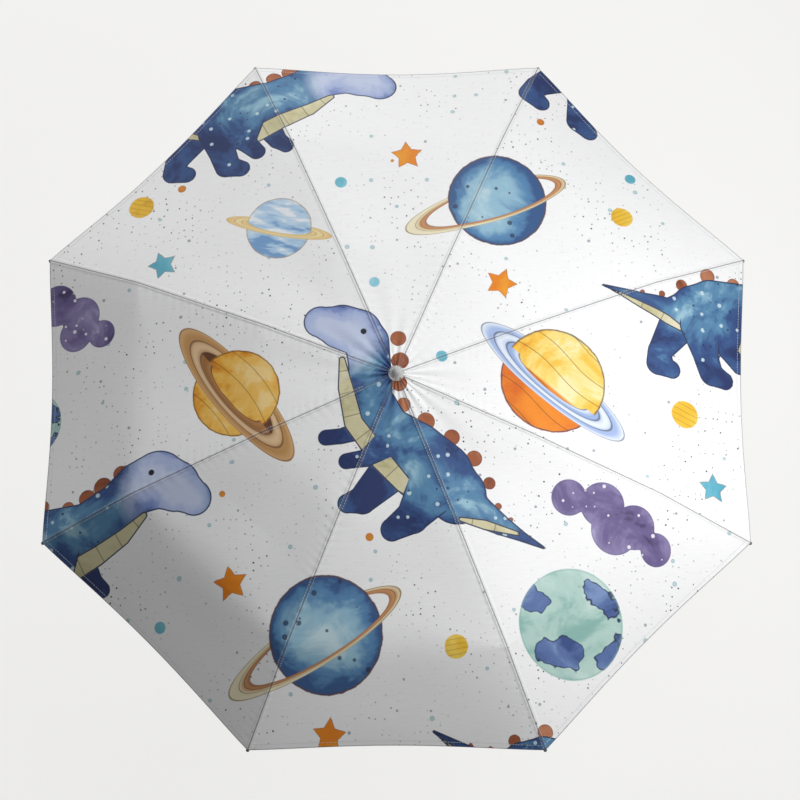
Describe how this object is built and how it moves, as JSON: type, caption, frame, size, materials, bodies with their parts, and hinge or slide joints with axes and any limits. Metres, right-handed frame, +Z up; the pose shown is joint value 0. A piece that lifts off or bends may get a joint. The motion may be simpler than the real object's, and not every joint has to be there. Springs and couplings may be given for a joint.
{
  "type": "children's folding umbrella",
  "caption": "Child's compact umbrella, open: shallow printed octagonal cloth canopy on Z-folding ribs, telescopic shaft with a slotted runner, and a short straight handle.",
  "frame": {"origin": "centre of the handle's flat base, on the shaft's axis", "axes": "+Z up along the shaft to the ferrule; +X points at the runner's catch, between two ribs"},
  "size_m": [0.8166, 0.8166, 0.4935],
  "materials": {
    "canopy_cloth": "woven polyester, satin",
    "handle_plastic": "fine matt",
    "trim_plastic": "moulded gloss",
    "tip_plastic": "moulded gloss",
    "snap_plastic": "moulded",
    "frame_plastic": "moulded nylon",
    "wire": "drawn wire",
    "spring_steel": "bright",
    "tube_steel": "plated",
    "rib_steel": "plated"
  },
  "bodies": {
    "handle": {"handle_grip": "handle_plastic", "handle_collar": "trim_plastic", "handle_base": "trim_plastic", "lower_tube": "tube_steel", "lower_tube_bush": "frame_plastic"},
    "middle_tube": {"middle_tube": "tube_steel", "middle_tube_bush": "frame_plastic", "middle_tube_collar": "frame_plastic"},
    "upper_tube": {"upper_tube": "tube_steel", "upper_tube_collar": "frame_plastic", "crown": "frame_plastic", "crown_wire": "wire", "ferrule": "tip_plastic", "ferrule_washer": "trim_plastic", "canopy_panel_1": "canopy_cloth", "canopy_panel_2": "canopy_cloth", "canopy_panel_3": "canopy_cloth", "canopy_panel_4": "canopy_cloth", "canopy_panel_5": "canopy_cloth", "canopy_panel_6": "canopy_cloth", "canopy_panel_7": "canopy_cloth", "canopy_panel_8": "canopy_cloth"},
    "runner": {"runner": "frame_plastic", "runner_wire": "wire"},
    "runner_catch": {"runner_catch": "spring_steel"},
    "inner_rib_1": {"inner_rib_1": "rib_steel"},
    "stretcher_1": {"stretcher_1": "rib_steel"},
    "middle_rib_1": {"middle_rib_1": "rib_steel"},
    "outer_rib_1": {"outer_rib_1": "rib_steel"},
    "inner_rib_2": {"inner_rib_2": "rib_steel"},
    "stretcher_2": {"stretcher_2": "rib_steel"},
    "middle_rib_2": {"middle_rib_2": "rib_steel"},
    "outer_rib_2": {"outer_rib_2": "rib_steel"},
    "inner_rib_3": {"inner_rib_3": "rib_steel"},
    "stretcher_3": {"stretcher_3": "rib_steel"},
    "middle_rib_3": {"middle_rib_3": "rib_steel"},
    "outer_rib_3": {"outer_rib_3": "rib_steel", "tie_strap": "canopy_cloth", "tie_snap": "snap_plastic"},
    "inner_rib_4": {"inner_rib_4": "rib_steel"},
    "stretcher_4": {"stretcher_4": "rib_steel"},
    "middle_rib_4": {"middle_rib_4": "rib_steel"},
    "outer_rib_4": {"outer_rib_4": "rib_steel"},
    "inner_rib_5": {"inner_rib_5": "rib_steel"},
    "stretcher_5": {"stretcher_5": "rib_steel"},
    "middle_rib_5": {"middle_rib_5": "rib_steel"},
    "outer_rib_5": {"outer_rib_5": "rib_steel"},
    "inner_rib_6": {"inner_rib_6": "rib_steel"},
    "stretcher_6": {"stretcher_6": "rib_steel"},
    "middle_rib_6": {"middle_rib_6": "rib_steel"},
    "outer_rib_6": {"outer_rib_6": "rib_steel"},
    "inner_rib_7": {"inner_rib_7": "rib_steel"},
    "stretcher_7": {"stretcher_7": "rib_steel"},
    "middle_rib_7": {"middle_rib_7": "rib_steel"},
    "outer_rib_7": {"outer_rib_7": "rib_steel"},
    "inner_rib_8": {"inner_rib_8": "rib_steel"},
    "stretcher_8": {"stretcher_8": "rib_steel"},
    "middle_rib_8": {"middle_rib_8": "rib_steel"},
    "outer_rib_8": {"outer_rib_8": "rib_steel"}
  },
  "joints": [
    {"name": "middle_tube_slide", "type": "slide", "parent": "handle", "child": "middle_tube", "axis": [0, 0, -1], "range_m": [0, 0.092]},
    {"name": "upper_tube_slide", "type": "slide", "parent": "middle_tube", "child": "upper_tube", "axis": [0, 0, -1], "range_m": [0, 0.092]},
    {"name": "runner_slide", "type": "slide", "parent": "upper_tube", "child": "runner", "axis": [0, 0, -1], "range_m": [0, 0.11665], "deforming": ["canopy_panel_1", "canopy_panel_2", "canopy_panel_3", "canopy_panel_4", "canopy_panel_5", "canopy_panel_6", "canopy_panel_7", "canopy_panel_8"]},
    {"name": "catch_press", "type": "slide", "parent": "upper_tube", "child": "runner_catch", "axis": [-1, 0, 0], "range_m": [0, 0.0018], "stiffness_N_per_m": 800, "springref_m": -0.0005},
    {"name": "crown_hinge_1", "type": "hinge", "parent": "upper_tube", "child": "inner_rib_1", "pos_m": [0.01155, 0.00478, 0.468], "axis": [-0.3827, 0.9239, 0], "range_deg": [0, 79]},
    {"name": "elbow_hinge_1", "type": "hinge", "parent": "inner_rib_1", "child": "stretcher_1", "pos_m": [0.08455, 0.03502, 0.45548], "axis": [-0.3827, 0.9239, 0], "range_deg": [-141.07, 0]},
    {"name": "knee_hinge_1", "type": "hinge", "parent": "inner_rib_1", "child": "middle_rib_1", "pos_m": [0.15365, 0.06364, 0.4483], "axis": [-0.3827, 0.9239, 0], "range_deg": [-182.4, 0]},
    {"name": "hip_hinge_1", "type": "hinge", "parent": "middle_rib_1", "child": "outer_rib_1", "pos_m": [0.29775, 0.12333, 0.40394], "axis": [-0.3827, 0.9239, 0], "range_deg": [0, 162.4]},
    {"name": "crown_hinge_2", "type": "hinge", "parent": "upper_tube", "child": "inner_rib_2", "pos_m": [0.00478, 0.01155, 0.468], "axis": [-0.9239, 0.3827, 0], "range_deg": [0, 79]},
    {"name": "elbow_hinge_2", "type": "hinge", "parent": "inner_rib_2", "child": "stretcher_2", "pos_m": [0.03502, 0.08455, 0.45548], "axis": [-0.9239, 0.3827, 0], "range_deg": [-141.07, 0]},
    {"name": "knee_hinge_2", "type": "hinge", "parent": "inner_rib_2", "child": "middle_rib_2", "pos_m": [0.06364, 0.15365, 0.4483], "axis": [-0.9239, 0.3827, 0], "range_deg": [-182.4, 0]},
    {"name": "hip_hinge_2", "type": "hinge", "parent": "middle_rib_2", "child": "outer_rib_2", "pos_m": [0.12333, 0.29775, 0.40394], "axis": [-0.9239, 0.3827, 0], "range_deg": [0, 162.4]},
    {"name": "crown_hinge_3", "type": "hinge", "parent": "upper_tube", "child": "inner_rib_3", "pos_m": [-0.00478, 0.01155, 0.468], "axis": [-0.9239, -0.3827, 0], "range_deg": [0, 79]},
    {"name": "elbow_hinge_3", "type": "hinge", "parent": "inner_rib_3", "child": "stretcher_3", "pos_m": [-0.03502, 0.08455, 0.45548], "axis": [-0.9239, -0.3827, 0], "range_deg": [-141.07, 0]},
    {"name": "knee_hinge_3", "type": "hinge", "parent": "inner_rib_3", "child": "middle_rib_3", "pos_m": [-0.06364, 0.15365, 0.4483], "axis": [-0.9239, -0.3827, 0], "range_deg": [-182.4, 0]},
    {"name": "hip_hinge_3", "type": "hinge", "parent": "middle_rib_3", "child": "outer_rib_3", "pos_m": [-0.12333, 0.29775, 0.40394], "axis": [-0.9239, -0.3827, 0], "range_deg": [0, 162.4]},
    {"name": "crown_hinge_4", "type": "hinge", "parent": "upper_tube", "child": "inner_rib_4", "pos_m": [-0.01155, 0.00478, 0.468], "axis": [-0.3827, -0.9239, 0], "range_deg": [0, 79]},
    {"name": "elbow_hinge_4", "type": "hinge", "parent": "inner_rib_4", "child": "stretcher_4", "pos_m": [-0.08455, 0.03502, 0.45548], "axis": [-0.3827, -0.9239, 0], "range_deg": [-141.07, 0]},
    {"name": "knee_hinge_4", "type": "hinge", "parent": "inner_rib_4", "child": "middle_rib_4", "pos_m": [-0.15365, 0.06364, 0.4483], "axis": [-0.3827, -0.9239, 0], "range_deg": [-182.4, 0]},
    {"name": "hip_hinge_4", "type": "hinge", "parent": "middle_rib_4", "child": "outer_rib_4", "pos_m": [-0.29775, 0.12333, 0.40394], "axis": [-0.3827, -0.9239, 0], "range_deg": [0, 162.4]},
    {"name": "crown_hinge_5", "type": "hinge", "parent": "upper_tube", "child": "inner_rib_5", "pos_m": [-0.01155, -0.00478, 0.468], "axis": [0.3827, -0.9239, 0], "range_deg": [0, 79]},
    {"name": "elbow_hinge_5", "type": "hinge", "parent": "inner_rib_5", "child": "stretcher_5", "pos_m": [-0.08455, -0.03502, 0.45548], "axis": [0.3827, -0.9239, 0], "range_deg": [-141.07, 0]},
    {"name": "knee_hinge_5", "type": "hinge", "parent": "inner_rib_5", "child": "middle_rib_5", "pos_m": [-0.15365, -0.06364, 0.4483], "axis": [0.3827, -0.9239, 0], "range_deg": [-182.4, 0]},
    {"name": "hip_hinge_5", "type": "hinge", "parent": "middle_rib_5", "child": "outer_rib_5", "pos_m": [-0.29775, -0.12333, 0.40394], "axis": [0.3827, -0.9239, 0], "range_deg": [0, 162.4]},
    {"name": "crown_hinge_6", "type": "hinge", "parent": "upper_tube", "child": "inner_rib_6", "pos_m": [-0.00478, -0.01155, 0.468], "axis": [0.9239, -0.3827, 0], "range_deg": [0, 79]},
    {"name": "elbow_hinge_6", "type": "hinge", "parent": "inner_rib_6", "child": "stretcher_6", "pos_m": [-0.03502, -0.08455, 0.45548], "axis": [0.9239, -0.3827, 0], "range_deg": [-141.07, 0]},
    {"name": "knee_hinge_6", "type": "hinge", "parent": "inner_rib_6", "child": "middle_rib_6", "pos_m": [-0.06364, -0.15365, 0.4483], "axis": [0.9239, -0.3827, 0], "range_deg": [-182.4, 0]},
    {"name": "hip_hinge_6", "type": "hinge", "parent": "middle_rib_6", "child": "outer_rib_6", "pos_m": [-0.12333, -0.29775, 0.40394], "axis": [0.9239, -0.3827, 0], "range_deg": [0, 162.4]},
    {"name": "crown_hinge_7", "type": "hinge", "parent": "upper_tube", "child": "inner_rib_7", "pos_m": [0.00478, -0.01155, 0.468], "axis": [0.9239, 0.3827, 0], "range_deg": [0, 79]},
    {"name": "elbow_hinge_7", "type": "hinge", "parent": "inner_rib_7", "child": "stretcher_7", "pos_m": [0.03502, -0.08455, 0.45548], "axis": [0.9239, 0.3827, 0], "range_deg": [-141.07, 0]},
    {"name": "knee_hinge_7", "type": "hinge", "parent": "inner_rib_7", "child": "middle_rib_7", "pos_m": [0.06364, -0.15365, 0.4483], "axis": [0.9239, 0.3827, 0], "range_deg": [-182.4, 0]},
    {"name": "hip_hinge_7", "type": "hinge", "parent": "middle_rib_7", "child": "outer_rib_7", "pos_m": [0.12333, -0.29775, 0.40394], "axis": [0.9239, 0.3827, 0], "range_deg": [0, 162.4]},
    {"name": "crown_hinge_8", "type": "hinge", "parent": "upper_tube", "child": "inner_rib_8", "pos_m": [0.01155, -0.00478, 0.468], "axis": [0.3827, 0.9239, 0], "range_deg": [0, 79]},
    {"name": "elbow_hinge_8", "type": "hinge", "parent": "inner_rib_8", "child": "stretcher_8", "pos_m": [0.08455, -0.03502, 0.45548], "axis": [0.3827, 0.9239, 0], "range_deg": [-141.07, 0]},
    {"name": "knee_hinge_8", "type": "hinge", "parent": "inner_rib_8", "child": "middle_rib_8", "pos_m": [0.15365, -0.06364, 0.4483], "axis": [0.3827, 0.9239, 0], "range_deg": [-182.4, 0]},
    {"name": "hip_hinge_8", "type": "hinge", "parent": "middle_rib_8", "child": "outer_rib_8", "pos_m": [0.29775, -0.12333, 0.40394], "axis": [0.3827, 0.9239, 0], "range_deg": [0, 162.4]}
  ],
  "couplings": [
    {"joint": "crown_hinge_1", "follows": "runner_slide", "rad_per_m": 11.82},
    {"joint": "elbow_hinge_1", "follows": "runner_slide", "rad_per_m": -21.106},
    {"joint": "knee_hinge_1", "follows": "runner_slide", "rad_per_m": -27.29},
    {"joint": "hip_hinge_1", "follows": "runner_slide", "rad_per_m": 24.298},
    {"joint": "crown_hinge_2", "follows": "runner_slide", "rad_per_m": 11.82},
    {"joint": "elbow_hinge_2", "follows": "runner_slide", "rad_per_m": -21.106},
    {"joint": "knee_hinge_2", "follows": "runner_slide", "rad_per_m": -27.29},
    {"joint": "hip_hinge_2", "follows": "runner_slide", "rad_per_m": 24.298},
    {"joint": "crown_hinge_3", "follows": "runner_slide", "rad_per_m": 11.82},
    {"joint": "elbow_hinge_3", "follows": "runner_slide", "rad_per_m": -21.106},
    {"joint": "knee_hinge_3", "follows": "runner_slide", "rad_per_m": -27.29},
    {"joint": "hip_hinge_3", "follows": "runner_slide", "rad_per_m": 24.298},
    {"joint": "crown_hinge_4", "follows": "runner_slide", "rad_per_m": 11.82},
    {"joint": "elbow_hinge_4", "follows": "runner_slide", "rad_per_m": -21.106},
    {"joint": "knee_hinge_4", "follows": "runner_slide", "rad_per_m": -27.29},
    {"joint": "hip_hinge_4", "follows": "runner_slide", "rad_per_m": 24.298},
    {"joint": "crown_hinge_5", "follows": "runner_slide", "rad_per_m": 11.82},
    {"joint": "elbow_hinge_5", "follows": "runner_slide", "rad_per_m": -21.106},
    {"joint": "knee_hinge_5", "follows": "runner_slide", "rad_per_m": -27.29},
    {"joint": "hip_hinge_5", "follows": "runner_slide", "rad_per_m": 24.298},
    {"joint": "crown_hinge_6", "follows": "runner_slide", "rad_per_m": 11.82},
    {"joint": "elbow_hinge_6", "follows": "runner_slide", "rad_per_m": -21.106},
    {"joint": "knee_hinge_6", "follows": "runner_slide", "rad_per_m": -27.29},
    {"joint": "hip_hinge_6", "follows": "runner_slide", "rad_per_m": 24.298},
    {"joint": "crown_hinge_7", "follows": "runner_slide", "rad_per_m": 11.82},
    {"joint": "elbow_hinge_7", "follows": "runner_slide", "rad_per_m": -21.106},
    {"joint": "knee_hinge_7", "follows": "runner_slide", "rad_per_m": -27.29},
    {"joint": "hip_hinge_7", "follows": "runner_slide", "rad_per_m": 24.298},
    {"joint": "crown_hinge_8", "follows": "runner_slide", "rad_per_m": 11.82},
    {"joint": "elbow_hinge_8", "follows": "runner_slide", "rad_per_m": -21.106},
    {"joint": "knee_hinge_8", "follows": "runner_slide", "rad_per_m": -27.29},
    {"joint": "hip_hinge_8", "follows": "runner_slide", "rad_per_m": 24.298}
  ]
}
